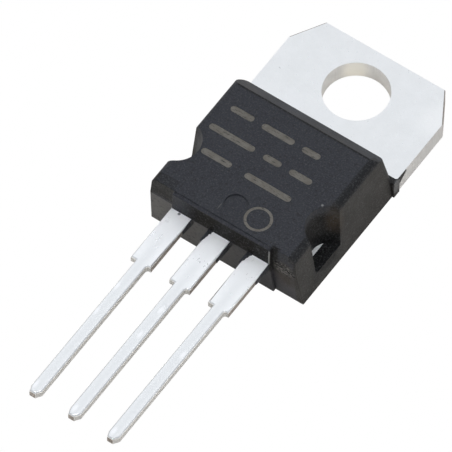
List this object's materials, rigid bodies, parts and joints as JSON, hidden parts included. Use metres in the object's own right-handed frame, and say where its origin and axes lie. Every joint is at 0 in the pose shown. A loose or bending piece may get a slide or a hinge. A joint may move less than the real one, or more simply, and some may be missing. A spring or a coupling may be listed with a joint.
{
  "type": "three-lead voltage regulator",
  "caption": "Voltage regulator in a black moulded power package, with a flat heat-sink tab with a screw hole and straight leads in one row.",
  "frame": {"origin": "centre of the mounting hole on the back face of the heat-sink tab", "axes": "+Z out of the front face, along the hole towards the screw's head; +Y towards the free end of the tab; leads run towards -Y; +X to the right seen from the front"},
  "size_m": [0.0102, 0.0297, 0.0045],
  "materials": {
    "moulded_epoxy": "black moulded epoxy, finely sparked skin, slightly bluish on the front face",
    "tinned_copper": "satin matt-tin plating on copper, bright silver-grey",
    "silicon": "dark grey silicon with a metallised face",
    "solder": "dull soft solder",
    "bond_wire": "bright drawn aluminium wire"
  },
  "bodies": {
    "root": {"moulded_body": "moulded_epoxy", "heatsink_tab_with_centre_lead": "tinned_copper", "left_lead": "tinned_copper", "right_lead": "tinned_copper", "silicon_die": "silicon", "die_solder": "solder", "left_bond_wire": "bond_wire", "right_bond_wire": "bond_wire", "ground_bond_wire": "bond_wire"}
  },
  "joints": []
}
